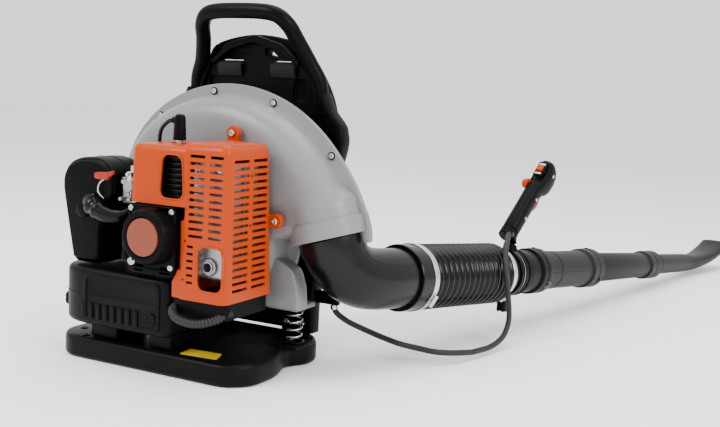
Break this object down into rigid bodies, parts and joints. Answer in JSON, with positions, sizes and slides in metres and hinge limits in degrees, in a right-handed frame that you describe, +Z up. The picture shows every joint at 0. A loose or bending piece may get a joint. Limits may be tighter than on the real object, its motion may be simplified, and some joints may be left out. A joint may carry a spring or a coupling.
{
  "type": "backpack leaf blower",
  "caption": "Backpack leaf blower: engine and fan on a back frame, with a swivelling elbow, bellows, control handle and blowing tubes.",
  "frame": {"origin": "middle of the base plate's underside, which rests on the ground", "axes": "+Z up, +Y from the engine towards the wearer and along the blowing tubes, +X to the wearer's right"},
  "size_m": [0.7464, 1.6319, 0.5392],
  "materials": {
    "black_plastic": "satin moulded black",
    "dark_plastic": "matte charcoal, fine texture",
    "tube_plastic": "matte dark grey",
    "grey_plastic": "satin light grey",
    "orange_plastic": "semi-gloss orange",
    "red_plastic": "semi-gloss red",
    "badge_plastic": "satin terracotta",
    "zinc_steel": "bright zinc plated",
    "cast_aluminium": "die cast, satin",
    "black_rubber": "glossy black rubber",
    "label_film": "yellow film, blank",
    "harness_fabric": "black woven webbing and mesh"
  },
  "bodies": {
    "machine": {"base_plate": "black_plastic", "back_frame": "black_plastic", "back_pad": "harness_fabric", "shoulder_strap_left": "harness_fabric", "shoulder_strap_right": "harness_fabric", "strap_buckle_left": "black_plastic", "strap_buckle_right": "black_plastic", "isolator_spring_left": "zinc_steel", "isolator_spring_right": "zinc_steel", "isolator_rubber_left": "black_rubber", "isolator_rubber_right": "black_rubber", "blank_label": "label_film", "fan_housing_rear": "grey_plastic", "fan_housing_front": "grey_plastic", "intake_guard": "black_plastic", "cable_bracket": "black_plastic", "throttle_cable_lower": "black_rubber", "engine_cover": "orange_plastic", "lower_shroud": "dark_plastic", "crankcase": "cast_aluminium", "cylinder": "cast_aluminium", "piston": "cast_aluminium", "connecting_rod": "zinc_steel", "ignition_coil": "black_plastic", "spark_plug": "zinc_steel", "plug_cap": "black_rubber", "ignition_lead": "black_rubber", "muffler": "cast_aluminium", "starter_housing": "black_plastic", "starter_badge": "badge_plastic", "carburettor": "cast_aluminium", "air_filter_case": "black_plastic", "filter_element": "harness_fabric", "fuel_tank": "black_plastic", "fuel_line": "black_rubber"},
    "rotor": {"crankshaft": "zinc_steel", "flywheel": "cast_aluminium", "impeller": "dark_plastic", "fan_nut": "zinc_steel"},
    "reel": {"starter_reel": "black_plastic"},
    "pull": {"starter_handle": "dark_plastic"},
    "elbow_body": {"elbow": "dark_plastic", "elbow_clamp": "zinc_steel", "bellows": "black_rubber", "throttle_cable_upper": "black_rubber"},
    "tube_body": {"bellows_clamp": "zinc_steel", "swivel_pipe": "black_plastic", "handle_clamp": "black_plastic", "grip_left": "dark_plastic", "grip_right": "dark_plastic", "tube_1": "tube_plastic", "tube_2": "tube_plastic"},
    "nozzle_body": {"nozzle": "tube_plastic"},
    "trigger_body": {"throttle_trigger": "orange_plastic"},
    "cruise_body": {"cruise_lever": "orange_plastic"},
    "stop_body": {"stop_switch": "orange_plastic"},
    "throttle_body": {"throttle_lever": "zinc_steel"},
    "choke_body": {"choke_lever": "red_plastic"},
    "cap_body": {"fuel_cap": "black_plastic"}
  },
  "joints": [
    {"name": "crank_spin", "type": "hinge", "parent": "machine", "child": "rotor", "pos_m": [0.025, 0, 0.202], "axis": [0, 1, 0], "continuous": true},
    {"name": "starter_pull", "type": "slide", "parent": "machine", "child": "pull", "axis": [-1, 0, 0], "range_m": [0, 0.3], "stiffness_N_per_m": 40, "springref_m": -0.05},
    {"name": "reel_turn", "type": "hinge", "parent": "machine", "child": "reel", "pos_m": [0.025, 0, 0.202], "axis": [0, 1, 0], "range_deg": [0, 820]},
    {"name": "elbow_swivel", "type": "hinge", "parent": "machine", "child": "elbow_body", "pos_m": [0.213, 0, 0.2], "axis": [-0.29, 0, 0.957], "range_deg": [-35, 12]},
    {"name": "bellows_bend", "type": "hinge", "parent": "elbow_body", "child": "tube_body", "pos_m": [0.29727, 0.26721, 0.11715], "axis": [0.9813, -0.1924, 0], "range_deg": [-12, 32], "deforming": ["bellows", "throttle_cable_upper"]},
    {"name": "nozzle_turn", "type": "hinge", "parent": "tube_body", "child": "nozzle_body", "pos_m": [0.4489, 1.04047, 0.04818], "axis": [0.1917, 0.9776, -0.0872], "range_deg": [-90, 90]},
    {"name": "trigger_pull", "type": "hinge", "parent": "tube_body", "child": "trigger_body", "pos_m": [0.34872, 0.51228, 0.23753], "axis": [-0.9784, 0.1973, 0.0614], "range_deg": [0, 18], "stiffness_Nm_per_rad": 0.25, "springref_deg": -20.05},
    {"name": "carburettor_throttle", "type": "hinge", "parent": "machine", "child": "throttle_body", "pos_m": [-0.05, -0.139, 0.254], "axis": [0, 1, 0], "range_deg": [0, 72]},
    {"name": "cruise_set", "type": "hinge", "parent": "tube_body", "child": "cruise_body", "pos_m": [0.33517, 0.50292, 0.26349], "axis": [-0.9784, 0.1973, 0.0614], "range_deg": [0, 28]},
    {"name": "stop_slide", "type": "slide", "parent": "tube_body", "child": "stop_body", "axis": [0.1802, 0.6693, 0.7208], "range_m": [-0.007, 0.007]},
    {"name": "choke_set", "type": "hinge", "parent": "machine", "child": "choke_body", "pos_m": [-0.08, -0.152, 0.275], "axis": [0, 1, 0], "range_deg": [0, 60]},
    {"name": "cap_turn", "type": "hinge", "parent": "machine", "child": "cap_body", "pos_m": [-0.17, -0.112, 0.076], "axis": [-1, 0, 0], "range_deg": [0, 120]}
  ],
  "couplings": [
    {"joint": "reel_turn", "follows": "starter_pull", "rad_per_m": 47.619},
    {"joint": "carburettor_throttle", "follows": "trigger_pull", "ratio": 4}
  ]
}
